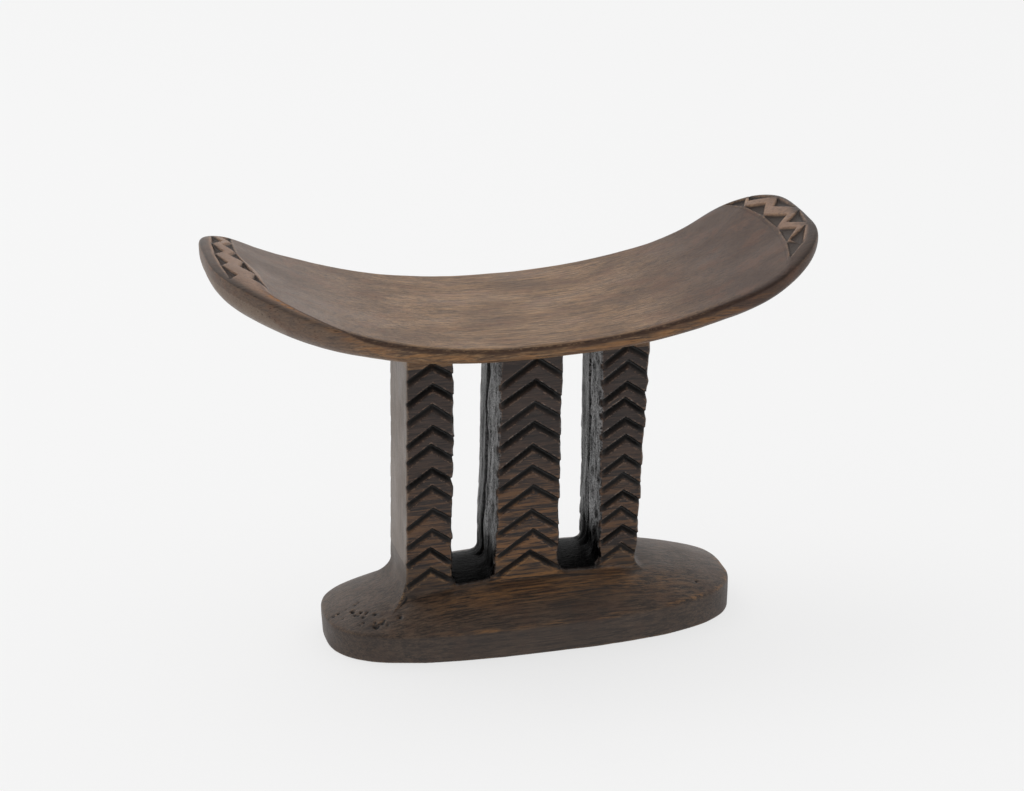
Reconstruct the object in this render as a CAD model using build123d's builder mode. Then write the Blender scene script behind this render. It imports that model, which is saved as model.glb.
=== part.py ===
from build123d import *
import os
from math import atan, cos, pi, sin

# Carved wooden headrest: a saddle-shaped headpiece on three posts over an oval, domed base.
# Millimetres, +Z up, +X along the headpiece.  The origin is on the floor, below the middle
# of the headpiece.  The five members meet face to face at two level cuts through the posts.

os.makedirs("parts", exist_ok=True)

# Headpiece: a board curved like a saddle, seen from above as a rounded oblong.  Its rim line
# rises by saddle_rise * s**saddle_power + tip_rise * s**5, where s runs from 0 in the middle
# to 1 at the tips.  The board reaches top_crown above and under_bulge below the rim line.
head_length = 200.0
head_width = 76.0
head_power = 3.7             # superellipse power of the outline
rim_low_z = 107.9
saddle_rise = 24.9
saddle_power = 2.15
tip_rise = 3.6
top_crown = 4.8
under_bulge = 6.9
under_growth = 4.8           # how much thicker the underside grows towards the tips
top_edge_radius = 4.5
under_edge_radius = 6.0

# Base: an oval slab with a domed top
base_length = 138.0
base_width = 61.6
base_centre_x = 2.7          # the base stands a little off the middle of the headpiece
base_power = 2.9
base_edge_height = 10.4
dome_height = 13.0
dome_power = 2.5
dome_steps = (1.0, 0.92, 0.8, 0.64, 0.45, 0.22)
base_edge_radius = 1.5

# Posts, cut level at the bottom and the top: centre and width at the bottom, centre and
# width at the top, depth, height of the lowest chevron's apex, pitch and number of chevrons
post_bottom_z = 28.0
post_top_z = 97.0
post_sizes = {
    "left_post": (-32.8, 15.2, -30.7, 15.1, 26.6, 27.2, 7.0, 11),
    "centre_post": (0.0, 20.9, 3.0, 20.2, 28.2, 30.0, 7.35, 10),
    "right_post": (31.6, 12.4, 34.7, 15.5, 26.4, 28.0, 6.4, 12),
}
post_edge_radius = 0.8

# Carved stubs that carry each post into the base and into the headpiece
stub_root = 3.0              # how deep a stub is sunk in its member
shoulder_flare = 2.0         # rounding of the posts under the headpiece
foot_flare = 2.5             # and of the posts on the base
outer_flare = 9.0            # long sweep of the left foot down on to the base

# Chevrons across the front and back of each post, as fractions of the post's width
chevron_apex = 0.56          # place of the apex, from the left
chevron_rise = 0.35          # height of the apex above the left foot
chevron_fall = 0.28          # height of the apex above the right foot
chevron_overrun = 1.0        # how far a groove runs out past the sides of the post
groove_height = 2.3
groove_depth = 1.0
groove_taper = 32

# Triangular chips cut into the top of both ends: an inner row with its bases along a chord
# of the outline, and an outer row along the rim, with a raised zigzag left between them
chip_depth = 1.0
chip_taper = 40
chip_base = 10.6
chip_height = 4.2
inner_row_x = 87.6
outer_row_x = 96.0
outer_row_bow = 0.008        # the outer row follows the rim's curve
inner_chips = (-19.8, -6.6, 6.6, 19.8)
outer_chips = (-13.2, 0.0, 13.2)
chip_clearance = 0.3         # the cut starts this far above the surface


def superellipse(length, width, power, centre_x=0.0, points=56):
    """Points round an oval that is squarer than an ellipse when the power is above 2."""
    outline = []
    for i in range(points):
        c, s = cos(2 * pi * i / points), sin(2 * pi * i / points)
        x = abs(c) ** (2 / power) * (1 if c > 0 else -1)
        y = abs(s) ** (2 / power) * (1 if s > 0 else -1)
        outline.append((centre_x + length / 2 * x, width / 2 * y))
    return outline


def rim_z(x):
    """Height of the headpiece's rim line at x."""
    s = abs(x) / (head_length / 2)
    return rim_low_z + saddle_rise * s**saddle_power + tip_rise * s**5


def top_z(x):
    return rim_z(x) + top_crown


def under_z(x):
    s = abs(x) / (head_length / 2)
    return rim_z(x) - under_bulge - under_growth * s**2


def dome_z(x):
    """Height of the base's dome on its long centre line."""
    rho = abs(x - base_centre_x) / (base_length / 2)
    return base_edge_height + dome_height * (1 - rho**dome_power)


def post_sides(post, z):
    """Left and right side of a leaning post at height z."""
    low_x, low_width, high_x, high_width = post[:4]
    t = (z - post_bottom_z) / (post_top_z - post_bottom_z)
    middle = low_x + t * (high_x - low_x)
    width = low_width + t * (high_width - low_width)
    return middle - width / 2, middle + width / 2


def chevron(post, apex_z):
    """Corners of one chevron band on a post's face, with its apex at apex_z."""
    left, right = post_sides(post, apex_z)
    width = right - left
    left_run = chevron_apex * width
    right_run = width - left_run
    left_drop = chevron_rise * width * (left_run + chevron_overrun) / left_run
    right_drop = chevron_fall * width * (right_run + chevron_overrun) / right_run
    upper = [
        (left - chevron_overrun, apex_z - left_drop),
        (left + left_run, apex_z),
        (right + chevron_overrun, apex_z - right_drop),
    ]
    lower = [(x, z - groove_height) for x, z in reversed(upper)]
    return upper + lower


def cut_chevrons(post):
    """Cut a post's chevrons into the front and the back of the part being built."""
    depth, first_z, pitch, count = post[4:]
    for face_y, inwards in ((-depth / 2, -groove_depth), (depth / 2, groove_depth)):
        with BuildSketch(Plane.XZ.offset(-face_y)) as bands:
            for i in range(count):
                Polygon(*chevron(post, first_z + i * pitch), align=None)
        extrude(bands.sketch, amount=inwards, taper=groove_taper, mode=Mode.SUBTRACT)


def add_stub(post, cut_z, root_z, left_flare, right_flare):
    """Add a post's stub, level at cut_z and flaring into its member at root_z(x)."""
    left, right = post_sides(post, cut_z)
    left_root, right_root = root_z(left - left_flare), root_z(right + right_flare)
    up = 1 if left_root > cut_z else -1
    sunk = up * stub_root
    with BuildSketch(Plane.XZ) as profile:
        with BuildLine():
            cut = Line((left, cut_z), (right, cut_z))
            side = Line(cut @ 1, (right, right_root - up * right_flare))
            sweep_out = RadiusArc(side @ 1, (right + right_flare, right_root), up * right_flare)
            root = Polyline(
                sweep_out @ 1,
                (right + right_flare, right_root + sunk),
                (left - left_flare, left_root + sunk),
                (left - left_flare, left_root),
            )
            sweep_in = RadiusArc(root @ 1, (left, left_root - up * left_flare), up * left_flare)
            Line(sweep_in @ 1, cut @ 0)
        make_face()
    extrude(profile.sketch, amount=post[4] / 2, both=True)


def cut_chips(end):
    """Cut the two rows of chips into one end of the headpiece, end = +1 or -1."""
    middle_x = (inner_row_x + outer_row_x) / 2
    slope = atan((top_z(outer_row_x) - top_z(inner_row_x)) / (outer_row_x - inner_row_x))
    surface = Plane(
        origin=(end * middle_x, 0, top_z(middle_x)),
        x_dir=(end * cos(slope), 0, sin(slope)),
        z_dir=(-end * sin(slope), 0, cos(slope)),
    )
    half = chip_base / 2
    row_gap = (outer_row_x - inner_row_x) / cos(slope)
    with BuildSketch(surface.offset(chip_clearance)) as chips:
        for y in inner_chips:
            with Locations((-row_gap / 2, y)):
                Polygon((0, -half), (chip_height, 0), (0, half), align=None)
        for y in outer_chips:
            with Locations((row_gap / 2 - outer_row_bow * y**2, y)):
                Polygon((0, half), (-chip_height, 0), (0, -half), align=None)
    cut = -(chip_depth + chip_clearance)
    extrude(chips.sketch, amount=cut, taper=chip_taper, mode=Mode.SUBTRACT)


with BuildPart() as headpiece:
    # the side profile, carried past the outline on all sides and then cut to it
    steps = [0.05 * i * head_length for i in range(-12, 13)]
    with BuildSketch(Plane.XZ.offset(-head_width)):
        with BuildLine():
            top = Spline(*[(x, top_z(x)) for x in steps])
            under = Spline(*[(x, under_z(x)) for x in steps])
            Line(top @ 0, under @ 0)
            Line(top @ 1, under @ 1)
        make_face()
    extrude(amount=2 * head_width)
    with BuildSketch(Plane.XY.offset(post_top_z)):
        with BuildLine():
            Spline(*superellipse(head_length, head_width, head_power), periodic=True)
        make_face()
    extrude(amount=head_width, mode=Mode.INTERSECT)
    under_ring, top_ring = headpiece.edges().filter_by(lambda e: e.is_closed).sort_by(Axis.Z)
    fillet(under_ring, under_edge_radius)
    top_ring = headpiece.edges().filter_by(lambda e: e.is_closed).sort_by(Axis.Z)[-1]
    fillet(top_ring, top_edge_radius)
    for post in post_sizes.values():
        add_stub(post, post_top_z, under_z, shoulder_flare, shoulder_flare)
    for end in (-1, 1):
        cut_chips(end)
headpiece.part.label = "headpiece"
export_step(headpiece.part, "parts/headpiece.step")

with BuildPart() as base:
    with BuildSketch():
        with BuildLine():
            Spline(*superellipse(base_length, base_width, base_power, base_centre_x),
                   periodic=True)
        make_face()
    extrude(amount=base_edge_height)
    for rho in dome_steps:
        level = base_edge_height + dome_height * (1 - rho**dome_power)
        with BuildSketch(Plane.XY.offset(level)):
            with BuildLine():
                Spline(*superellipse(rho * base_length, rho * base_width, base_power,
                                     base_centre_x), periodic=True)
            make_face()
    loft()
    rings = base.edges().filter_by(lambda e: e.is_closed).sort_by(Axis.Z)
    fillet(rings[:2], base_edge_radius)
    for name, post in post_sizes.items():
        left_flare = outer_flare if name == "left_post" else foot_flare
        add_stub(post, post_bottom_z, dome_z, left_flare, foot_flare)
base.part.label = "base"
export_step(base.part, "parts/base.step")

for name, post in post_sizes.items():
    depth = post[4]
    with BuildPart() as member:
        for level in (post_bottom_z, post_top_z):
            left, right = post_sides(post, level)
            with BuildSketch(Plane.XY.offset(level)):
                with Locations(((left + right) / 2, 0)):
                    Rectangle(right - left, depth)
        loft()
        upright = post_top_z - post_bottom_z
        fillet(member.edges().filter_by(lambda e: e.length > upright - 1), post_edge_radius)
        cut_chevrons(post)
    member.part.label = name
    export_step(member.part, f"parts/{name}.step")
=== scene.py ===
import math

import bmesh
import bpy
import numpy as np
from mathutils import Matrix, Vector


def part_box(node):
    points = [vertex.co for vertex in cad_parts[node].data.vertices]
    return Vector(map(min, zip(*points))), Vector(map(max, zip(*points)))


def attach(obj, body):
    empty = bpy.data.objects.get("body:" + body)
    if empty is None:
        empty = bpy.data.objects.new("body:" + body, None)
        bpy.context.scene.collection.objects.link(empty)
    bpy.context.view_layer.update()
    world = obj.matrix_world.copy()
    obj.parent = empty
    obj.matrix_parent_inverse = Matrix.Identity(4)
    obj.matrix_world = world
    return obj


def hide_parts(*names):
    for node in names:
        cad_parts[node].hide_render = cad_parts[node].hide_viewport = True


# A headrest carved from one block of dark wood.  The whole carving is described once, as a
# distance field in millimetres, and meshed once.  It is then cut at the two levels where the
# CAD members meet, so that each member is a piece of its own and the cuts fit exactly.

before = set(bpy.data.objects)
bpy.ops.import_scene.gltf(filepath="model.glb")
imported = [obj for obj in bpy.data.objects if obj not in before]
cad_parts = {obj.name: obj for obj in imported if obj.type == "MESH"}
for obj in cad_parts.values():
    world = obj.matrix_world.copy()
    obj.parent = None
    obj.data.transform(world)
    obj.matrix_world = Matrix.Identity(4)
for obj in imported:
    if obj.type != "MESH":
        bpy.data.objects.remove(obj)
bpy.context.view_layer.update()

MM = 0.001
ROOT = "root"


def node_box(node):
    """Lowest and highest corner of a CAD node, in millimetres."""
    low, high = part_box(node)
    return np.array(low) / MM, np.array(high) / MM


# ---------------------------------------------------------------- dimensions, millimetres

head_low, head_high = node_box("headpiece")
base_low, base_high = node_box("base")
CUT_LOW, CUT_HIGH = base_high[2], head_low[2]
SKIN = 0.12                     # the surface relief stays this far inside the CAD box

HEAD_LENGTH = (head_high[0] - head_low[0]) / 2 - SKIN
HEAD_WIDTH = (head_high[1] - head_low[1]) / 2 - SKIN
HEAD_POWER = 3.6
RIM_LOW = head_high[2] - 29.45
CROWN, CROWN_GROWTH, CROWN_POWER = 6.08, 0.33, 2.98
BULGE, BULGE_POWER = 4.97, 3.2
DISH, DISH_GROWTH = 2.07, 1.1   # the dish floor's height over the rim's middle line
DISH_EDGE = 0.9                 # how far the rim's inner arris is rounded
HEAD_TWIST, TWIST_REACH = 0.3, 40
HALF_SPAN = 100                 # from the middle to a tip
TIP_START = 0.8                 # part of the half span at which a tip begins to level off
# the carver made the two wings a little differently: left, right
SADDLE_RISE = (29.6, 25.6)
SADDLE_POWER = (2.25, 2.5)
TIP_LEVELS = (1.9, 0.4)         # how much the rise eases off at the very tip
BULGE_GROWTH = (11.2, 5.3)
SHOULDER = (1.3, 3.25)          # rise of the dish towards the tips' far corners
SKEW = (3.2, 1.4)               # the tips' sideways lean
FLARE = (0.03, 0.17)            # how much wider the board grows
DRAW_IN = (0.3, 1.5)            # how far the tips stop short of the board's full oval
PANEL_START = (88.2, 89.5)      # where the dish ends and the carved panel begins
PANEL_STEP, PANEL_RUN = 0.8, 1.4

BASE_CENTRE = (base_low[0] + base_high[0]) / 2
BASE_LENGTH = (base_high[0] - base_low[0]) / 2
BASE_WIDTH = (base_high[1] - base_low[1]) / 2
BASE_POWER = 2.78
BASE_EDGE, BASE_TILT, BASE_TUCK = 10.2, 0.008, 0.3
DOME, DOME_POWER = 12.5, 2.3

# width at the lower and the upper cut, then the chevrons: lowest apex, pitch and number
POSTS = {
    "left_post": (15.2, 15.1, 27.2, 7.15, 11),
    "centre_post": (20.9, 20.2, 29.7, 7.45, 10),
    "right_post": (12.4, 15.5, 27.9, 6.45, 12),
}
POST_MIDDLES = {name: node_box(name)[0][0] / 2 + node_box(name)[1][0] / 2 for name in POSTS}
CHEVRON_APEX, CHEVRON_RISE, CHEVRON_FALL = 0.56, 0.38, 0.32
CHEVRON_WANDER = 0.8            # how far a chevron strays from its even place
FRONT_SEED, BACK_SEED = 11, 23  # for the chevrons' unevenness
GROOVE_DEPTH, GROOVE_FLOOR, UPPER_WALL, LOWER_WALL = 1.5, 0.35, 0.6, 2.1
CLEFT_PLACE, CLEFT_WIDTH, CLEFT_DEPTH = 3.2, 1.0, 1.8

# Chips at the tips: rows of triangles that stand on a bowed line, seen from above.  A row has
# the line's farthest x and the y there, its bow, the first and the last chip's y, the number
# of chips, their base, and their height, negative where the points look inwards.
CHIP_ROWS_LEFT = (
    (88.5, 12.0, 0.0055, -15.5, 22.0, 5, 7.4, 2.7),
    (95.6, -2.0, 0.004, -16.5, 15.5, 4, 7.8, -2.6),
)
CHIP_ROWS_RIGHT = (
    (89.7, -4.0, 0.0062, -23.5, 25.7, 5, 9.6, 3.9),
    (98.0, 1.5, 0.0107, -18.2, 22.6, 4, 8.8, -4.1),
)
CHIP_WANDER, CHIP_LEAN = 0.6, 1.2
CHIP_DEPTH, CHIP_SLOPE, CHIP_SPREAD = 1.8, 2.1, 0.6

# worm holes: one alone, and a cluster along the base's edge at the left end
LONE_HOLE = (57.0, -17.7, 0.55)  # x, y, radius
CLUSTER_HOLES = 30
CLUSTER_RING = (0.84, 0.97)      # 1 is the base's outline
CLUSTER_START, CLUSTER_SWEEP = 189, 34  # degrees
CLUSTER_RADIUS = (0.3, 0.65)

FIELD_LOW, FIELD_HIGH = (-103.0, -41.0, -3.0), (103.0, 41.0, 140.0)
TRIANGLE_LIMIT = 195_000         # a piece's mesh

# ---------------------------------------------------------------- stage and camera, metres

CAMERA_PLACE = (-0.2342, -0.9870, 0.4667)
CAMERA_AZIMUTH = math.radians(13.31)
CAMERA_ELEVATION = math.radians(20.89)
CAMERA_ROLL = math.radians(-1.07)
CAMERA_LENS = 116.4
FLOOR_SIZE, PAPER_SHADE, PAPER_GLOW = 6, 0.24, 0.69
TENT_BRIGHT, TENT_DIM = 1.0, 0.42
TENT_FADE = (-0.1, 0.75)
SOFTBOX_PLACE, SOFTBOX_AIM = (-0.5, 0.5, 1.3), (0, 0, 0.05)
SOFTBOX_SIZE, SOFTBOX_POWER = 0.9, 4
GREASY_X, DUSTY_X, TAR_Z = (0.02, 0.075), (-0.03, -0.08), (0.040, 0.028)  # from none to full


# ---------------------------------------------------------------- field building blocks


def smooth_step(low, high, value):
    t = np.clip((value - low) / (high - low), 0, 1)
    return t * t * (3 - 2 * t)


def smooth_min(a, b, reach):
    h = np.maximum(reach - np.abs(a - b), 0) / reach
    return np.minimum(a, b) - h * h * reach / 4


def smooth_max(a, b, reach):
    return -smooth_min(-a, -b, reach)


def oval(x, y, length, width, power):
    """How far out a point is in a superellipse (1 on the outline), and the slopes of that."""
    u, v = np.abs(x) / length, np.abs(y) / width
    rho = np.maximum((u**power + v**power) ** (1 / power), 1e-4)
    return rho, (u / rho) ** (power - 1) / length, (v / rho) ** (power - 1) / width


def lattice(ix, iy, iz, seed):
    """Repeatable pseudo-random value in 0..1 for each lattice point."""
    h = (ix * 73856093) ^ (iy * 19349663) ^ (iz * 83492791) ^ (seed * 2654435761)
    h = h & 0xFFFFFFFF
    h = ((h ^ (h >> 15)) * 2246822519) & 0xFFFFFFFF
    h = ((h ^ (h >> 13)) * 3266489917) & 0xFFFFFFFF
    return ((h ^ (h >> 16)) & 0xFFFFFF) / float(0xFFFFFF)


def noise(x, y, z, seed):
    """Smooth value noise in -1..1, one feature per unit."""
    cell = [np.floor(c).astype(np.int64) for c in (x, y, z)]
    part = [c - i for c, i in zip((x, y, z), cell)]
    part = [p * p * (3 - 2 * p) for p in part]
    total = 0
    for dx in (0, 1):
        wx = part[0] if dx else 1 - part[0]
        for dy in (0, 1):
            wy = part[1] if dy else 1 - part[1]
            for dz in (0, 1):
                wz = part[2] if dz else 1 - part[2]
                value = lattice(cell[0] + dx, cell[1] + dy, cell[2] + dz, seed)
                total = total + wx * wy * wz * value
    return total * 2 - 1


# ---------------------------------------------------------------- the carving's members


def wing(x, pair):
    """The left or the right wing's own value."""
    return np.where(x > 0, pair[1], pair[0])


def span(x):
    """Place along a wing, from 0 in the middle to 1 at the tip."""
    return np.abs(x) / HALF_SPAN


def rim_height(x, y):
    """Height of the middle line of the headpiece's rim."""
    s = span(x)
    rise = wing(x, SADDLE_RISE) * s ** wing(x, SADDLE_POWER)
    level = wing(x, TIP_LEVELS) * (np.maximum(s - TIP_START, 0) / (1 - TIP_START)) ** 2
    return RIM_LOW + rise - level - HEAD_TWIST * np.tanh(x / TWIST_REACH) * y / HEAD_WIDTH


def rim_slope(x):
    s = span(x)
    power = wing(x, SADDLE_POWER)
    level = wing(x, TIP_LEVELS) * 2 * np.maximum(s - TIP_START, 0) / (1 - TIP_START) ** 2
    steep = wing(x, SADDLE_RISE) * power * s ** (power - 1) - level
    return np.sign(x) * steep / HALF_SPAN


def chip_triangles(rows, seed):
    """Corners of the chips at one tip, a little uneven: x away from the middle, y."""
    rng = np.random.default_rng(seed)
    triangles = []
    for far, middle, bow, first, last, count, base, height in rows:
        for place in np.linspace(first, last, count):
            shift, lean, tall = rng.uniform(-1, 1, 3)
            y = place + CHIP_WANDER * shift
            point = (y + CHIP_LEAN * lean, height * (1 + 0.15 * tall))
            corners = ((y - base / 2, 0), (y + base / 2, 0), point)
            triangles.append([(far - bow * (v - middle) ** 2 + out, v) for v, out in corners])
    return triangles


CHIPS_LEFT = chip_triangles(CHIP_ROWS_LEFT, 3)
CHIPS_RIGHT = chip_triangles(CHIP_ROWS_RIGHT, 4)


def chip_cut(x, y):
    """Depth of the triangular chips at the tips."""
    out = np.abs(x)
    depth = np.zeros_like(x)
    for side, chips in ((x > 0, CHIPS_RIGHT), (x < 0, CHIPS_LEFT)):
        for corners in chips:
            cut = np.full_like(x, CHIP_DEPTH)
            (ax, ay), (bx, by), (cx, cy) = corners
            turn = 1 if (bx - ax) * (cy - ay) - (by - ay) * (cx - ax) > 0 else -1
            for (px, py), (qx, qy) in zip(corners, corners[1:] + corners[:1]):
                long = math.hypot(qx - px, qy - py)
                inside = turn * ((qx - px) * (y - py) - (qy - py) * (out - px)) / long
                cut = np.minimum(cut, CHIP_SLOPE * (inside + CHIP_SPREAD))
            depth = np.where(side, np.maximum(depth, cut), depth)
    return depth


def panel_edge(x, y):
    """Distance from the middle at which the dish ends and the carved panel of a tip begins."""
    left = 5.0 * smooth_step(10, -9, y) + 8.0 * (np.maximum(-22 - y, 0) / 8) ** 2
    right = 6.3 * ((y + 4) / 32) ** 2
    return wing(x, PANEL_START) - np.where(x > 0, right, left)


def shoulder(x, y):
    """How much higher the tips' far corners stand."""
    tips = SHOULDER[1] * smooth_step(64, 86, x) + SHOULDER[0] * smooth_step(78, 92, -x)
    return tips * smooth_step(-10, 28, y)


def head_body(x, y, z):
    """The saddle-shaped board with its rounded rim, before the dish is hollowed."""
    s = span(x)
    flare = 1 + FLARE[0] * s**2 + (FLARE[1] - FLARE[0]) * smooth_step(55, 85, x)
    rho, gx, gy = oval(x, y / flare, HEAD_LENGTH, HEAD_WIDTH / 1.012, HEAD_POWER)
    rise = z - rim_height(x, y)
    above = rise > 0
    crown = CROWN + CROWN_GROWTH * s**2 + shoulder(x, y)
    thick = np.where(above, crown, BULGE + wing(x, BULGE_GROWTH) * s**2)
    power = np.where(above, CROWN_POWER, BULGE_POWER)
    w = np.abs(rise) / thick
    g = np.maximum((rho**power + w**power) ** (1 / power), 1e-4)
    a, b = (rho / g) ** (power - 1), (w / g) ** (power - 1) / thick
    steep = a * gx * np.sign(x) - b * rim_slope(x) * np.sign(rise)
    return (g - 1) / np.sqrt(steep**2 + (a * gy) ** 2 + b**2)


def dish_floor(x, y, z):
    """Height over the hollowed dish, which ends in a short step at each tip's panel."""
    s = span(x)
    step = PANEL_STEP * np.clip((np.abs(x) - panel_edge(x, y)) / PANEL_RUN + 1, 0, 6)
    floor = rim_height(x, y) + DISH + DISH_GROWTH * s**2 + step + shoulder(x, y)
    return (z - floor) / np.sqrt(1 + rim_slope(x) ** 2)


def head_place(x, y):
    """Where a point lies in the headpiece's own straightened plan."""
    y = y + wing(x, SKEW) * span(x) * x / HALF_SPAN
    right = (DRAW_IN[1] + 0.04 * np.maximum(y, 0)) * smooth_step(65, 96, x)
    return x + right - DRAW_IN[0] * smooth_step(65, 96, -x), y


def headpiece(x, y, z):
    x, y = head_place(x, y)
    body = head_body(x, y, z)
    tip = (np.abs(x) > 76) & (z > rim_height(x, y))
    body[tip] += np.maximum(chip_cut(x[tip], y[tip]), 0)
    return smooth_max(body, dish_floor(x, y, z), DISH_EDGE)


def insect_holes():
    """The worm holes on the base, as x, y and radius."""
    rng = np.random.default_rng(5)
    cluster = []
    for turn in rng.uniform(0, 1, CLUSTER_HOLES):
        ring = rng.uniform(*CLUSTER_RING)
        angle = math.radians(CLUSTER_START + CLUSTER_SWEEP * turn)
        reach = ring * (abs(math.cos(angle)) ** BASE_POWER
                        + abs(math.sin(angle)) ** BASE_POWER) ** (-1 / BASE_POWER)
        cluster.append((BASE_CENTRE + BASE_LENGTH * reach * math.cos(angle),
                        BASE_WIDTH * reach * math.sin(angle), rng.uniform(*CLUSTER_RADIUS)))
    return [LONE_HOLE] + cluster


HOLES = insect_holes()


def base(x, y, z):
    rho, gx, gy = oval(x - BASE_CENTRE, y, BASE_LENGTH, BASE_WIDTH, BASE_POWER)
    slope = np.sqrt(gx**2 + gy**2)
    tuck = np.clip(1 - z / BASE_EDGE, 0, 1) ** 1.6 * BASE_TUCK
    wall = (rho - 1) / np.maximum(slope, 1e-4) + tuck
    fall = DOME * DOME_POWER * rho ** (DOME_POWER - 1) * slope
    edge = BASE_EDGE + BASE_TILT * x
    top = (z - edge - DOME * (1 - rho**DOME_POWER)) / np.sqrt(1 + fall**2)
    for hole_x, hole_y, radius in HOLES:
        near = (np.abs(x - hole_x) < 2.5) & (np.abs(y - hole_y) < 2.5)
        off = ((x[near] - hole_x) ** 2 + (y[near] - hole_y) ** 2) / radius**2
        top[near] += 0.9 * radius * np.exp(-off)
    return smooth_max(smooth_max(wall, top, 1.0), -z, 0.8)


def post_frame(name, z):
    """Centre, half width and half depth of a leaning post at height z."""
    low, high = node_box(name)
    bottom, top = POSTS[name][:2]
    t = (z - CUT_LOW) / (CUT_HIGH - CUT_LOW)
    middle = (low[0] + bottom / 2) * (1 - t) + (high[0] - top / 2) * t
    return middle, (bottom + (top - bottom) * t) / 2, (high[1] - low[1]) / 2


def chevron_cut(name, x, z, seed):
    """Depth of the chevron grooves on a post's front or back face."""
    middle, half, _ = post_frame(name, z)
    across = (x - middle) / (2 * half) + 0.5
    depth = np.zeros_like(x)
    rng = np.random.default_rng(seed)
    lowest, pitch, count = POSTS[name][2:]
    for i in range(count):
        shift, rise, fall, deep, stray = rng.uniform(-1, 1, 5)
        apex_z = lowest + pitch * i + CHEVRON_WANDER * stray
        apex = CHEVRON_APEX + 0.035 * shift
        left = (apex - across) * 2 * half * CHEVRON_RISE / CHEVRON_APEX * (1 + 0.07 * rise)
        right = (across - apex) * 2 * half * CHEVRON_FALL / (1 - CHEVRON_APEX) * (1 + 0.1 * fall)
        over = z - apex_z + np.maximum(left, right)
        wall = np.where(over > 0, 1 - over / UPPER_WALL, 1 + (over + GROOVE_FLOOR) / LOWER_WALL)
        deepest = GROOVE_DEPTH * (1 + 0.18 * deep)
        fade = 0.3 + 0.7 * smooth_step(-0.01, 0.1, across) - 0.4 * smooth_step(0.88, 1, across)
        depth = np.maximum(depth, deepest * fade * np.clip(wall, 0, 1))
    return depth


def carved_faces(name, near, y):
    """Which of the near points belong to a post's front and back face, and that face's seed."""
    return ((near & (y < 0), FRONT_SEED + len(name)), (near & (y >= 0), BACK_SEED + len(name)))


def post(name, x, y, z):
    """Distance to one post, and how far the point lies beside it rather than before it."""
    middle, half, deep = post_frame(name, z)
    front = np.zeros_like(x)
    near = np.abs(np.abs(y) - deep) < 4
    near &= np.abs(x - middle) < half + 3
    for face, seed in carved_faces(name, near, y):
        front[face] = chevron_cut(name, x[face], z[face], seed)
    beside = np.abs(x - middle) - half + side_cut(name, x - middle, y, z)
    before = np.abs(y) - deep + 0.15 + front
    return smooth_max(beside, before, 0.7), beside - before


def side_cut(name, off, y, z):
    """Gouge marks down the sides of a post: rough where it faces another post."""
    rough = np.ones_like(off)
    if name == "left_post":
        rough = smooth_step(-1, 1, off)
    seed = 40 + len(name)
    flutes = 0.5 - np.abs(noise(y / 4.2 + 0.2 * off, z / 19, off / 30, seed))
    knobs = noise(y / 1.6, z / 3.4, off / 30, seed + 1) * (0.4 + smooth_step(CLEFT_PLACE, 0, y))
    fibres = noise(y / 1.1, z / 11, off / 30, seed + 2)
    wander = CLEFT_PLACE + 2.0 * noise(z / 11, 0 * z, 0 * z, seed + 3)
    width = CLEFT_WIDTH * (1 + 0.5 * noise(z / 8, 0 * z, 0 * z, seed + 4))
    cleft = np.exp(-(((y - wander) / width) ** 2))
    return rough * (0.7 * flutes + 0.3 * knobs + 0.2 * fibres + CLEFT_DEPTH * cleft - 0.45)


def carving(x, y, z):
    """Signed distance to the whole carving, negative inside the wood."""
    distance = np.full_like(x, 60.0)
    beside = np.full_like(x, -1.0)
    for name in POSTS:
        middle, half, deep = post_frame(name, z)
        near = (np.abs(x - middle) < half + 12) & (np.abs(y) < deep + 12)
        near &= (z > 8) & (z < 122)
        d, b = post(name, x[near], y[near], z[near])
        rim = rim_height(x[near], y[near])
        d = np.maximum(d, z[near] - rim + 1.5)
        closer = d < distance[near]
        distance[near] = np.where(closer, d, distance[near])
        beside[near] = np.where(closer, b, beside[near])
    low = z < CUT_LOW + 18
    b = base(x[low], y[low], z[low])
    side = smooth_step(-0.5, 1.5, beside[low])
    outer = smooth_step(BASE_CENTRE - 38, BASE_CENTRE - 42, x[low])
    reach = 1.8 + side * (1.6 + 3 * outer)
    distance[low] = smooth_min(distance[low], b, reach)
    high = z > CUT_HIGH - 12
    h = headpiece(x[high], y[high], z[high])
    distance[high] = smooth_min(distance[high], h, 0.9 + 2.4 * smooth_step(-0.5, 1.5, beside[high]))
    return distance


# ---------------------------------------------------------------- meshing the field

STEP = 0.42
BLOCK = 8
CORNERS = [(i, j, k) for i in (0, 1) for j in (0, 1) for k in (0, 1)]
EDGES = [(a, b) for a in range(8) for b in range(a + 1, 8)
         if sum(abs(p - q) for p, q in zip(CORNERS[a], CORNERS[b])) == 1]


def evaluate(field, points, chunk=1_500_000):
    out = np.empty(len(points))
    for i in range(0, len(points), chunk):
        p = points[i:i + chunk]
        out[i:i + chunk] = field(p[:, 0].copy(), p[:, 1].copy(), p[:, 2].copy())
    return out


def gradient(field, points, reach):
    slopes = []
    for axis in range(3):
        shift = np.zeros(3)
        shift[axis] = reach
        slopes.append(evaluate(field, points + shift) - evaluate(field, points - shift))
    return np.stack(slopes, 1) / (2 * reach)


def unit(slope):
    """Slopes brought to length 1."""
    return slope / np.maximum(np.linalg.norm(slope, axis=1), 1e-6)[:, None]


def combine(steps):
    """Every combination of the three axes' steps, one a row."""
    return np.stack(np.meshgrid(*steps, indexing="ij"), -1).reshape(-1, 3)


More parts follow.
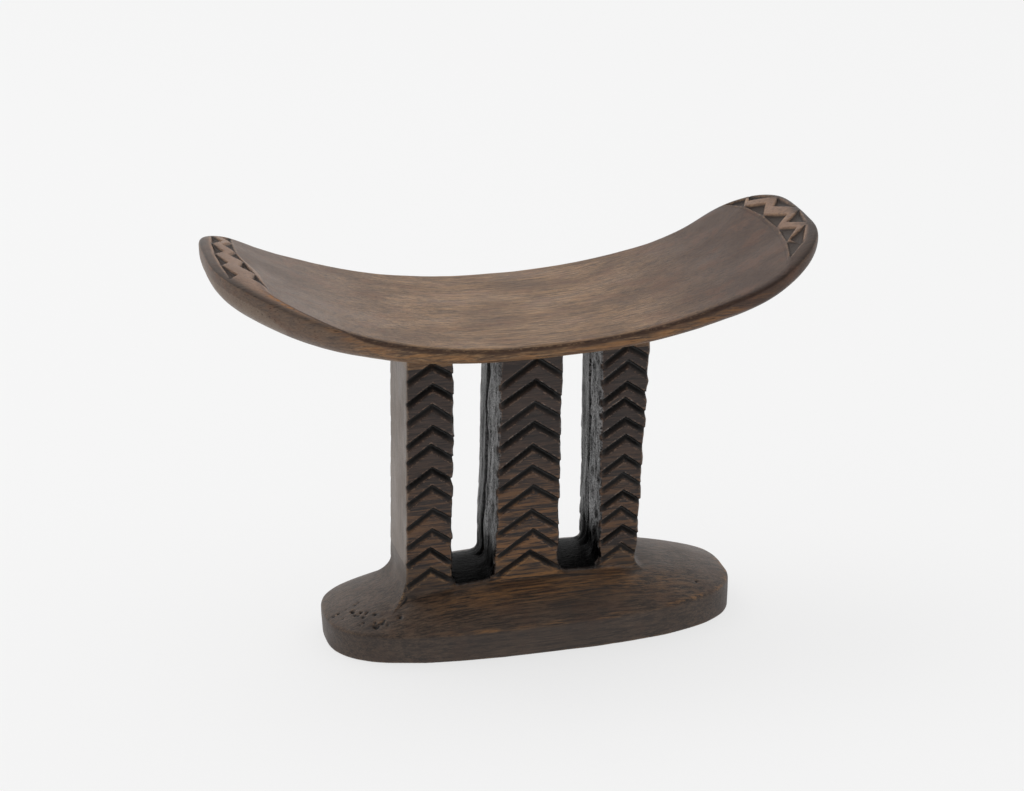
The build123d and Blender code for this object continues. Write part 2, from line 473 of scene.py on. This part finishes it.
def blocks_near(field, low, count, size):
    """Indices of the blocks that the surface may run through."""
    index = combine([np.arange(n) for n in count])
    probe = low + (index[:, None] + combine([(0.02, 0.5, 0.98)] * 3)[None]) * size
    value = evaluate(field, probe.reshape(-1, 3)).reshape(len(index), -1)
    close = np.abs(value).min(1) < size * 0.4
    return index[close | ((value.min(1) < 0) & (value.max(1) > 0))]


def mixed_cells(field, low, index, step):
    """Cells with corners on both sides of the surface, and the field at their eight corners."""
    local = combine([np.arange(BLOCK + 1)] * 3).reshape(*[BLOCK + 1] * 3, 3)
    grid = index[:, None, None, None, :] * BLOCK + local[None]
    value = evaluate(field, low + grid.reshape(-1, 3) * step).reshape(grid.shape[:4])
    corners = [value[:, i:i + BLOCK, j:j + BLOCK, k:k + BLOCK] for i, j, k in CORNERS]
    number = sum((corner < 0).astype(np.int8) for corner in corners)
    mixed = (number > 0) & (number < 8)
    cell = grid[:, :BLOCK, :BLOCK, :BLOCK][mixed]
    return cell, np.stack([corner[mixed] for corner in corners], 1)


def net_points(cell, value):
    """One point for each cell, in cells: the mean of the places where its edges are crossed."""
    total, hits = np.zeros((len(cell), 3)), np.zeros(len(cell))
    for a, b in EDGES:
        crossed = (value[:, a] < 0) != (value[:, b] < 0)
        t = value[crossed, a] / (value[crossed, a] - value[crossed, b])
        start, end = np.array(CORNERS[a], float), np.array(CORNERS[b], float)
        total[crossed] += start + t[:, None] * (end - start)
        hits[crossed] += 1
    return cell + total / hits[:, None]


def cell_key(cell, stride):
    return (cell[:, 0] * stride[1] + cell[:, 1]) * stride[2] + cell[:, 2]


def net_quads(cell, value, key, stride):
    """A quad round each grid edge that the surface crosses, facing out of the wood."""
    quads = []
    for axis in range(3):
        other = [(axis + 1) % 3, (axis + 2) % 3]
        along = CORNERS.index(tuple(int(i == axis) for i in range(3)))
        for start_inside in (True, False):
            change = (value[:, 0] < 0) == start_inside
            change &= (value[:, along] < 0) != start_inside
            ring = []
            for da, db in ((0, 0), (1, 0), (1, 1), (0, 1)):
                neighbour = cell[change].copy()
                neighbour[:, other[0]] -= da
                neighbour[:, other[1]] -= db
                wanted = cell_key(neighbour, stride)
                found = np.minimum(np.searchsorted(key, wanted), len(key) - 1)
                ring.append(np.where(key[found] == wanted, found, -1))
            ring = np.stack(ring, 1)
            ring = ring[(ring >= 0).all(1)]
            quads.append(ring if start_inside else ring[:, ::-1])
    return np.concatenate(quads)


def surface_net(field, low, high, step):
    """Quads that follow the zero level of the field, found in blocks near the surface only."""
    low, high = np.array(low), np.array(high)
    count = np.ceil((high - low) / (step * BLOCK)).astype(int)
    index = blocks_near(field, low, count, step * BLOCK)
    cell, value = mixed_cells(field, low, index, step)
    points = low + net_points(cell, value) * step
    stride = (count * BLOCK + 2).astype(np.int64)
    key = cell_key(cell, stride)
    order = np.argsort(key)
    return points[order], net_quads(cell[order], value[order], key[order], stride)


def settle(field, points, step):
    """Move the net's points on to the surface."""
    slope = gradient(field, points, 0.3 * step)
    value = evaluate(field, points)
    move = -value[:, None] * slope / np.maximum((slope**2).sum(1), 0.05)[:, None]
    length = np.sqrt((move**2).sum(1))
    move *= np.minimum(1, 0.45 * step / np.maximum(length, 1e-9))[:, None]
    return points + move, slope


def relief(points, normal):
    """The shallow unevenness that a knife and long handling leave."""
    x, y, z = points.T
    waves = noise(x / 9, y / 7, z / 11, 3) * 0.10 + noise(x / 3.1, y / 2.7, z / 3.3, 4) * 0.035
    return points + normal * (waves - 0.02)[:, None]


def carve():
    """Points and quads of the whole carving, in millimetres."""
    points, quads = surface_net(carving, FIELD_LOW, FIELD_HIGH, STEP)
    points, _ = settle(carving, points, STEP)
    points, slope = settle(carving, points, STEP)
    return relief(points, unit(slope)), quads


# ---------------------------------------------------------------- pieces


def add_object(name, data):
    thing = bpy.data.objects.new(name, data)
    bpy.context.scene.collection.objects.link(thing)
    return thing


def quad_mesh(name, points, quads):
    used, index = np.unique(quads, return_inverse=True)
    mesh = bpy.data.meshes.new(name)
    mesh.vertices.add(len(used))
    mesh.vertices.foreach_set("co", (points[used] * MM).ravel())
    mesh.loops.add(quads.size)
    mesh.loops.foreach_set("vertex_index", index.ravel().astype(np.int32))
    mesh.polygons.add(len(quads))
    mesh.polygons.foreach_set("loop_start", np.arange(0, quads.size, 4, dtype=np.int32))
    mesh.polygons.foreach_set("use_smooth", np.ones(len(quads), dtype=bool))
    mesh.update(calc_edges=True)
    return mesh


def cut_level(bm, z, keep_above):
    """Cut the open mesh at a height, drop one side and close the cut with a flat cap."""
    cut = bmesh.ops.bisect_plane(
        bm, geom=bm.verts[:] + bm.edges[:] + bm.faces[:], dist=1e-8,
        plane_co=(0, 0, z * MM), plane_no=(0, 0, 1),
        clear_outer=not keep_above, clear_inner=keep_above)
    seam = [edge for edge in cut["geom_cut"] if isinstance(edge, bmesh.types.BMEdge)]
    cap = bmesh.ops.triangle_fill(bm, edges=seam, use_beauty=True,
                                  normal=(0, 0, -1 if keep_above else 1))
    for face in cap["geom"]:
        if isinstance(face, bmesh.types.BMFace):
            face.smooth = False
    for edge in seam:
        edge.smooth = False


def cut_piece(name, points, quads, levels):
    mesh = quad_mesh(name, points, quads)
    bm = bmesh.new()
    bm.from_mesh(mesh)
    for z, keep_above in levels:
        cut_level(bm, z, keep_above)
    bm.to_mesh(mesh)
    bm.free()
    return add_object(name, mesh)


def thin_out(piece):
    """Bring a heavy piece under the triangle limit; flat areas lose the most."""
    triangles = sum(len(face.vertices) - 2 for face in piece.data.polygons)
    if triangles <= TRIANGLE_LIMIT:
        return
    modifier = piece.modifiers.new("thin_out", "DECIMATE")
    modifier.ratio = TRIANGLE_LIMIT / triangles
    graph = bpy.context.evaluated_depsgraph_get()
    thinned = bpy.data.meshes.new_from_object(piece.evaluated_get(graph))
    piece.modifiers.clear()
    piece.data = thinned


def make_pieces():
    points, quads = carve()
    top = points[quads][:, :, 2].max(1)
    bottom = points[quads][:, :, 2].min(1)
    middle = points[quads][:, :, 0].mean(1)
    margin = 2 * STEP
    pieces = {
        "headpiece": cut_piece("carved_headpiece", points, quads[top > CUT_HIGH - margin],
                               [(CUT_HIGH, True)]),
        "base": cut_piece("carved_base", points, quads[bottom < CUT_LOW + margin],
                          [(CUT_LOW, False)]),
    }
    between = (top > CUT_LOW - margin) & (bottom < CUT_HIGH + margin)
    for name in POSTS:
        low, high = node_box(name)
        own = between & (middle > low[0] - 4) & (middle < high[0] + 4)
        pieces[name] = cut_piece("carved_" + name, points, quads[own],
                                 [(CUT_LOW, True), (CUT_HIGH, False)])
    for piece in pieces.values():
        thin_out(piece)
    return pieces


# ---------------------------------------------------------------- wear, char, painted shade with grime, and painted light


def convexity(points, reach):
    """Positive along outer arrises and negative in grooves, about -1..1."""
    total = -6 * evaluate(carving, points)
    for axis in range(3):
        shift = np.zeros(3)
        shift[axis] = reach
        total += evaluate(carving, points + shift) + evaluate(carving, points - shift)
    return total / reach


def shelter(points, normal):
    """How deep a point sits among the surfaces around it, 0 in the open."""
    total = 0
    for reach in (1.0, 2.5, 6.0):
        open_space = evaluate(carving, points + normal * reach) / reach
        total = total + np.clip(1 - open_space, 0, 1) / 3
    return total


def between_posts(points, normal):
    """The inner faces that were burnt black: where the posts face one another."""
    x, y, z = points.T
    left = POST_MIDDLES["left_post"]
    right = POST_MIDDLES["right_post"]
    below = smooth_step(2, 0, z - rim_height(x, y))
    across = smooth_step(left, left + 5, x) * smooth_step(right + 6, right, x)
    side = smooth_step(0.3, 0.6, np.abs(normal[:, 0])) * smooth_step(15.5, 13, np.abs(y))
    hollow = smooth_step(0.3, 0.6, normal[:, 2]) * smooth_step(42, 36, z)
    hollow = hollow * smooth_step(14, 12, np.abs(y))
    clean = smooth_step(0.15, 0.02, groove_mask(points))
    return across * below * clean * np.maximum(side, hollow)


def painted_sheen_mask(points):
    """The front strip of the burnt faces as far as the cleft, coloured light grey as a painted
    sheen.
    """
    y, z = points[:, 1], points[:, 2]
    front = smooth_step(1.5, -0.5, y - CLEFT_PLACE - 1.6 * noise(z / 13, 0 * z, 0 * z, 51))
    mottle = 0.35 + 0.65 * smooth_step(-0.5, 0.5, noise(y / 3, z / 12, 0 * z, 52))
    # the painted sheen is fullest right of the centre post
    return front * mottle * np.where(points[:, 0] > POST_MIDDLES["centre_post"] + 4, 1, 0.7)


def groove_mask(points):
    """How deep a point lies in a chevron groove or in a chip at a tip."""
    x, y, z = points.T
    mask = np.zeros(len(points))
    along, across = head_place(x, y)
    tip = (np.abs(along) > 76) & (z > rim_height(along, across))
    mask[tip] = np.clip(chip_cut(along[tip], across[tip]) / CHIP_DEPTH, 0, 1)
    for name in POSTS:
        middle, half, deep = post_frame(name, z)
        near = (np.abs(x - middle) < half + 1.5) & (np.abs(np.abs(y) - deep) < 2.5)
        for face, seed in carved_faces(name, near, y):
            cut = chevron_cut(name, x[face], z[face], seed)
            mask[face] = np.maximum(mask[face], np.clip(cut / GROOVE_DEPTH, 0, 1))
    return mask


def crest_mask(points):
    """A band just outside the arris where the dish meets the rim."""
    z = points[:, 2]
    x, y = head_place(points[:, 0], points[:, 1])
    over = dish_floor(x, y, z)
    ragged = 0.45 * noise(x / 5, z / 3, y / 9, 31)
    below = smooth_step(-2.1, -1.3, over + ragged) * smooth_step(-0.1, -0.4, over)
    return below * (z > CUT_HIGH) * smooth_step(90, 80, np.abs(x))


def panel_mask(points):
    z = points[:, 2]
    x, y = head_place(points[:, 0], points[:, 1])
    rho, _, _ = oval(x, y, HEAD_LENGTH, HEAD_WIDTH, HEAD_POWER)
    return (smooth_step(-0.6, 0.6, np.abs(x) - panel_edge(x, y)) * smooth_step(0.985, 0.96, rho)
            * (z > rim_height(x, y) + 1.0))


def golden_mask(points, normal):
    """Where handling has worn the dark surface to warm bare wood, and a painted light band on the
    headpiece's near side below the crest.
    """
    x, y, z = points.T
    front = smooth_step(0.3, 0.7, np.abs(normal[:, 1])) * (np.abs(y) < 16)
    low_bands = smooth_step(72, 34, z) * front * (z > CUT_LOW - 8)
    weight = np.where(np.abs(x - POST_MIDDLES["centre_post"]) < 12, 0.75, 0.4)
    apron = np.exp(-(((y + 19) / 5) ** 2)) * smooth_step(-40, -20, x) * smooth_step(64, 36, x)
    over = dish_floor(*head_place(x, y), z)
    rim = np.exp(-(((x + 80.5) / 3.5) ** 2) - ((over + 2.1) / 1.0) ** 2) * (y < -18)
    # painted light: a band on the headpiece's near side, under the crest, is lightened towards the
    # warm colour to make up for the shade it lies in
    painted_light_band = smooth_step(-6.5, -3.2, over) * smooth_step(-1.7, -2.4, over) * (z > CUT_HIGH)
    painted_light_band = painted_light_band * smooth_step(85, 60, np.abs(x)) * (y < 0)
    arris = np.exp(-(((z - BASE_EDGE - BASE_TILT * x) / 0.7) ** 2)) * smooth_step(-40, -15, x)
    arris = arris * smooth_step(-0.35, 0.25, noise(x / 6, y / 3, 0 * z, 61)) * (z < CUT_LOW)
    golden = low_bands * weight + 0.6 * apron * (z < CUT_LOW) + 1.8 * rim
    return np.clip(golden + 0.25 * painted_light_band + 0.75 * arris, 0, 1)


def pale_mask(points, normal):
    """The dusty outer side of the left post, and the right post's to match."""
    x, _, z = points.T
    outer = np.where(x < 0, normal[:, 0] < -0.5, normal[:, 0] > 0.5)
    away = (x < POST_MIDDLES["left_post"]) | (x > POST_MIDDLES["right_post"])
    upright = smooth_step(CUT_LOW - 10, CUT_LOW, z) * (z < rim_height(x, 0) - 2)
    return outer * away * upright


def store(mesh, name, values):
    layer = mesh.attributes.new(name, "FLOAT", "POINT")
    layer.data.foreach_set("value", values.astype(np.float32))


def record_surface(piece):
    """Keep the masks that the materials read, one value per vertex."""
    mesh = piece.data
    points = np.empty(len(mesh.vertices) * 3, dtype=np.float32)
    mesh.vertices.foreach_get("co", points)
    points = points.reshape(-1, 3).astype(float) / MM
    normal = unit(gradient(carving, points, 0.25))
    curve = convexity(points, 0.7)
    store(mesh, "worn", np.clip(curve, 0, 1))
    store(mesh, "sunk", np.clip(-curve, 0, 1))
    store(mesh, "shelter", shelter(points, normal))
    store(mesh, "char", between_posts(points, normal))
    store(mesh, "painted_sheen", painted_sheen_mask(points))
    store(mesh, "groove", groove_mask(points))
    store(mesh, "crest", crest_mask(points))
    store(mesh, "panel", panel_mask(points))
    store(mesh, "golden", golden_mask(points, normal))
    store(mesh, "pale", pale_mask(points, normal))


# ---------------------------------------------------------------- materials


def colour(code):
    """Linear colour from a hex code."""
    parts = [int(code[i:i + 2], 16) / 255 for i in (1, 3, 5)]
    linear = [c / 12.92 if c <= 0.04045 else ((c + 0.055) / 1.055) ** 2.4 for c in parts]
    return (*linear, 1)


class Shader:
    """Adds nodes to one material; a constant goes straight on to its socket."""

    def __init__(self, name):
        self.material = bpy.data.materials.new(name)
        self.material.use_nodes = True
        self.tree = self.material.node_tree
        self.surface = self.tree.nodes["Principled BSDF"]
        texture = self.add("ShaderNodeTexCoord")
        self.place, self.facing = texture.outputs["Object"], texture.outputs["Normal"]
        self.x, _, self.z = self.add("ShaderNodeSeparateXYZ", {0: self.place}).outputs

    def add(self, kind, sockets=None, **settings):
        node = self.tree.nodes.new(kind)
        for key, value in settings.items():
            setattr(node, key, value)
        for key, value in (sockets or {}).items():
            self.put(node.inputs[key], value)
        return node

    def put(self, socket, value):
        if isinstance(value, bpy.types.NodeSocket):
            self.tree.links.new(value, socket)
        else:
            socket.default_value = value

    def attribute(self, name):
        return self.add("ShaderNodeAttribute", attribute_name=name).outputs["Fac"]

    def noise(self, size, detail=4, roughness=0.55, shift=0):
        """Noise whose features are `size` millimetres long along x, y and z."""
        scale = tuple(1 / (MM * length) for length in size)
        place = self.add("ShaderNodeMapping", {"Vector": self.place, "Scale": scale,
                                               "Location": (shift, shift, shift)})
        texture = self.add("ShaderNodeTexNoise", {"Vector": place.outputs[0], "Scale": 1,
                                                  "Detail": detail, "Roughness": roughness})
        return texture.outputs["Fac"]

    def band(self, value, low, high, start=0, end=1):
        """From start at low to end at high, smoothly."""
        node = self.add("ShaderNodeMapRange", interpolation_type="SMOOTHSTEP")
        for i, item in enumerate((value, low, high, start, end)):
            self.put(node.inputs[i], item)
        return node.outputs[0]

    def maths(self, operation, a, b):
        """The result, held between 0 and 1."""
        node = self.add("ShaderNodeMath", {0: a, 1: b}, operation=operation, use_clamp=True)
        return node.outputs[0]

    def times(self, a, b):
        return self.maths("MULTIPLY", a, b)

    def mix(self, amount, a, b):
        node = self.add("ShaderNodeMix", data_type="RGBA")
        for i, item in ((0, amount), (6, a), (7, b)):
            self.put(node.inputs[i], item)
        return node.outputs[2]

    def bump(self, height, depth, normal=None):
        sockets = {"Height": height, "Distance": depth * MM, "Strength": 1.0}
        if normal is not None:
            sockets["Normal"] = normal
        return self.add("ShaderNodeBump", sockets).outputs[0]


# the third soot colour is a painted sheen: light grey where highlights show on the burnt faces
SOOT_DARK, SOOT_LIGHT, SOOT_PAINTED_SHEEN = colour("#0a0a0a"), colour("#393838"), colour("#b4b2b3")
TAR, TAR_SHINE = colour("#030303"), 0.016


def wood_noises(s):
    """The noises that colour and relief share; the grain runs along x."""
    return {
        "fibre": s.noise((15, 0.9, 0.9), detail=7, roughness=0.68),
        "fine": s.noise((4, 0.3, 0.3), detail=3, roughness=0.65, shift=7),
        "cloud": s.noise((30, 16, 16), detail=5, roughness=0.6, shift=3),
        "speck": s.noise((1.6, 0.9, 0.9), detail=3, roughness=0.7, shift=11),
    }


def stained_grain(s, look, noises):
    """Oiled wood, greasy towards the right tip and dusty towards the left one."""
    tone = s.mix(s.band(noises["fibre"], 0.36, 0.64), look["dark"], look["light"])
    tone = s.mix(s.times(s.band(noises["fine"], 0.5, 0.68), look["streak"]), tone, look["tan"])
    stained = s.times(s.band(noises["cloud"], 0.42, 0.7), look["stain_amount"])
    tone = s.mix(stained, tone, look["stain"])
    tone = s.mix(s.times(s.band(s.x, *GREASY_X), look["greasy"]), tone, look["grease"])
    tone = s.mix(s.times(s.band(s.x, *DUSTY_X), look["dusty"]), tone, look["dust"])
    patch = s.noise((11, 7, 7), detail=5, roughness=0.68, shift=29)
    tone = s.mix(s.times(s.band(patch, 0.5, 0.62), look["rusty"]), tone, look["rust"])
    upright_fibre = s.noise((1.3, 1.3, 15), detail=4, roughness=0.7, shift=23)
    pale = s.times(s.attribute("pale"), s.band(upright_fibre, 0.38, 0.56, 0.62, 1))
    return s.mix(pale, tone, look["pale"])


def handled(s, look, noises, tone):
    """The panels, the darkened crest, where handling has worn the wood bare, and a painted light
    band on the headpiece's near side.
    """
    panel = s.times(s.attribute("panel"), s.band(noises["speck"], 0.3, 0.6, 0.55, 1))
    tone = s.mix(panel, tone, look["panel"])
    crest = s.times(s.attribute("crest"), s.band(noises["fibre"], 0.35, 0.6, 0.5, 0.95))
    tone = s.mix(crest, tone, look["crest"])
    golden = s.times(s.attribute("golden"), s.band(noises["fibre"], 0.42, 0.62))
    tone = s.mix(golden, tone, look["golden"])
    worn = s.times(s.band(s.attribute("worn"), 0.3, 0.85), s.band(noises["speck"], 0.46, 0.64))
    return s.mix(s.times(worn, look["wear"]), tone, look["worn"])


def soiled_and_shaded(s, look, tone):
    """Grime in the pores, painted shade with grime in the hollows, creases and grooves, and painted
    shade that dulls the base's upright side.
    """
    pore = s.band(s.noise((4.5, 0.36, 0.36), detail=2, shift=19), 0.40, 0.30)
    tone = s.mix(s.times(pore, look["pore_amount"]), tone, look["deep"])
    # painted shade, partly grime: darker where a point sits in a hollow or crease, and in the
    # chevron grooves and tip chips
    shelter = s.band(s.attribute("shelter"), 0.12, 0.62)
    shade_and_dirt = s.maths("ADD", shelter, s.band(s.attribute("sunk"), 0.3, 0.9))
    shade_and_dirt = s.maths("MAXIMUM", shade_and_dirt, s.band(s.attribute("groove"), 0.12, 0.55))
    tone = s.mix(s.times(shade_and_dirt, look["shade_and_dirt"]), tone, look["deep"])
    # painted shade: faces that stand upright are darkened towards the stain colour, by how they
    # face
    facing_up = s.add("ShaderNodeSeparateXYZ", {0: s.facing}).outputs[2]
    wall = s.times(s.band(facing_up, 0.4, 0.1), look["wall"])
    return s.mix(wall, tone, look["stain"])


def burnt(s, noises, tone, char, tar):
    """Soot on the posts' inner faces, a painted light grey sheen on their front strip, and tar
    between their feet.
    """
    # painted sheen: the front strip of the burnt faces is mottled light grey
    painted_sheen = s.times(s.band(noises["speck"], 0.4, 0.58), s.attribute("painted_sheen"))
    soot = s.mix(s.band(noises["speck"], 0.4, 0.66), SOOT_DARK, SOOT_LIGHT)
    soot = s.mix(painted_sheen, soot, SOOT_PAINTED_SHEEN)
    return s.mix(char, tone, s.mix(tar, soot, TAR))


def carved_wood(name, look):
    """One of the carving's woods, as a whole material."""
    s = Shader(name)
    noises = wood_noises(s)
    char = s.attribute("char")
    tar = s.times(char, s.band(s.z, *TAR_Z))
    tone = handled(s, look, noises, stained_grain(s, look, noises))
    tone = burnt(s, noises, soiled_and_shaded(s, look, tone), char, tar)

    gloss = s.band(noises["cloud"], 0.3, 0.7, look["roughness"] - 0.06, look["roughness"] + 0.08)
    gloss = s.maths("SUBTRACT", gloss, s.times(char, 0.16))
    normal = s.bump(noises["fibre"], look["grain_depth"])
    normal = s.bump(noises["fine"], 0.6 * look["grain_depth"], normal)
    crackle = s.times(noises["speck"], s.maths("ADD", char, 0.1))
    normal = s.bump(crackle, 0.7, normal)

    s.put(s.surface.inputs["Base Color"], tone)
    s.put(s.surface.inputs["Roughness"], gloss)
    s.put(s.surface.inputs["Normal"], normal)
    s.put(s.surface.inputs["Specular IOR Level"], s.band(tar, 0, 1, look["specular"], TAR_SHINE))
    return s.material


POLISHED = {
    "dark": colour("#4f3927"), "light": colour("#8f6c49"), "tan": colour("#ac8a63"),
    "stain": colour("#54443b"), "golden": colour("#a86a1e"), "panel": colour("#8a6c57"),
    "crest": colour("#2f190e"), "worn": colour("#a08060"), "deep": colour("#1d130d"),
    "pale": colour("#7b6a5c"), "grease": colour("#44332c"), "greasy": 0.85,
    "dust": colour("#61554f"), "dusty": 0.7, "rust": colour("#6f4a36"), "rusty": 0.3,
    "streak": 0.7, "stain_amount": 0.5, "wear": 0.5, "pore_amount": 0.7, "shade_and_dirt": 0.9,
    "roughness": 0.47, "specular": 0.32, "grain_depth": 0.1, "wall": 0,
}
# what the posts and the base share; panel, crest, grease and dust show on the headpiece only
PLAIN = {
    "panel": colour("#8a6c57"), "crest": colour("#2c1b12"), "pale": colour("#74665b"),
    "grease": colour("#231d1a"), "greasy": 0, "dust": colour("#4a4039"), "dusty": 0,
    "stain_amount": 0.6, "pore_amount": 0.5, "specular": 0.4, "grain_depth": 0.1,
}
CARVED = PLAIN | {
    "dark": colour("#1f1714"), "light": colour("#3e2f28"), "tan": colour("#664f41"),
    "stain": colour("#2a2220"), "golden": colour("#8a6038"), "worn": colour("#806653"),
    "deep": colour("#050302"), "rust": colour("#3d291f"), "rusty": 0.3, "wall": 0,
    "streak": 0.35, "wear": 0.6, "shade_and_dirt": 0.97, "roughness": 0.46,
}
# on the base, "wall" sets how much painted shade darkens its upright faces
FOOT = PLAIN | {
    "dark": colour("#2a201a"), "light": colour("#594739"), "tan": colour("#7e6550"),
    "stain": colour("#332b27"), "golden": colour("#93683c"), "worn": colour("#8c6e4d"),
    "deep": colour("#070504"), "rust": colour("#50382a"), "rusty": 0.35, "wall": 0.45,
    "streak": 0.45, "wear": 0.8, "shade_and_dirt": 0.95, "roughness": 0.5,
}


def backlit_paper():
    """White paper that glows a little, so that the shadow on it stays faint."""
    material = bpy.data.materials.new("backlit_paper")
    material.use_nodes = True
    surface = material.node_tree.nodes["Principled BSDF"]
    surface.inputs["Base Color"].default_value = (PAPER_SHADE, PAPER_SHADE, PAPER_SHADE, 1)
    surface.inputs["Roughness"].default_value = 1
    surface.inputs["Specular IOR Level"].default_value = 0
    surface.inputs["Emission Color"].default_value = (1, 1, 1, 1)
    surface.inputs["Emission Strength"].default_value = PAPER_GLOW
    return material


# ---------------------------------------------------------------- stage, lights, camera


def add_floor():
    """One flat sheet of paper, below the carving and behind it."""
    mesh = bpy.data.meshes.new("floor")
    reach = FLOOR_SIZE / 2
    corners = [(-reach, -reach, 0), (reach, -reach, 0), (reach, reach, 0), (-reach, reach, 0)]
    mesh.from_pydata(corners, [], [(0, 1, 2, 3)])
    mesh.materials.append(backlit_paper())
    floor = add_object("floor", mesh)


def add_room():
    """A light tent: bright behind, above and at the sides, dimmer behind the camera."""
    world = bpy.data.worlds.new("light_tent")
    bpy.context.scene.world = world
    world.use_nodes = True
    tree = world.node_tree
    place = tree.nodes.new("ShaderNodeTexCoord")
    along = tree.nodes.new("ShaderNodeVectorMath")
    along.operation = "DOT_PRODUCT"
    toward_camera = Vector((-math.sin(CAMERA_AZIMUTH), -math.cos(CAMERA_AZIMUTH), 0.1))
    along.inputs[1].default_value = toward_camera.normalized()
    fade = tree.nodes.new("ShaderNodeMapRange")
    fade.interpolation_type = "SMOOTHSTEP"
    fade.inputs["From Min"].default_value = TENT_FADE[0]
    fade.inputs["From Max"].default_value = TENT_FADE[1]
    fade.inputs["To Min"].default_value = TENT_BRIGHT
    fade.inputs["To Max"].default_value = TENT_DIM
    background = tree.nodes["Background"]
    background.inputs["Color"].default_value = (1, 1, 1, 1)
    tree.links.new(place.outputs["Generated"], along.inputs[0])
    tree.links.new(along.outputs["Value"], fade.inputs["Value"])
    tree.links.new(fade.outputs[0], background.inputs["Strength"])


def add_softbox():
    data = bpy.data.lights.new("softbox_above", "AREA")
    data.size, data.energy = SOFTBOX_SIZE, SOFTBOX_POWER
    light = add_object("softbox_above", data)
    light.location = SOFTBOX_PLACE
    beam = Vector(SOFTBOX_AIM) - Vector(SOFTBOX_PLACE)
    light.rotation_euler = beam.to_track_quat("-Z", "Y").to_euler()


def add_camera():
    """The photograph's view, with its slight roll."""
    sin_a, cos_a = math.sin(CAMERA_AZIMUTH), math.cos(CAMERA_AZIMUTH)
    sin_e, cos_e = math.sin(CAMERA_ELEVATION), math.cos(CAMERA_ELEVATION)
    right = Vector((cos_a, -sin_a, 0))
    up = Vector((sin_a * sin_e, cos_a * sin_e, cos_e))
    turn = Matrix((right, up, right.cross(up))).transposed()
    turn = turn @ Matrix.Rotation(CAMERA_ROLL, 3, "Z")
    data = bpy.data.cameras.new("camera")
    data.lens = CAMERA_LENS
    camera = add_object("camera", data)
    camera.matrix_world = Matrix.Translation(CAMERA_PLACE) @ turn.to_4x4()
    bpy.context.scene.camera = camera


# ---------------------------------------------------------------- the scene

WOODS = {"polished_wood": POLISHED, "carved_wood": CARVED, "base_wood": FOOT}
SLOTS = {"headpiece": "polished_wood", "base": "base_wood"}
woods = {slot: carved_wood(slot + "_surface", look) for slot, look in WOODS.items()}

for node, piece in make_pieces().items():
    slot = SLOTS.get(node, "carved_wood")
    record_surface(piece)
    piece.data.materials.append(woods[slot])
    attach(piece, ROOT)
    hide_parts(node)

add_floor()
add_room()
add_softbox()
add_camera()
bpy.context.scene.view_settings.view_transform = "Standard"
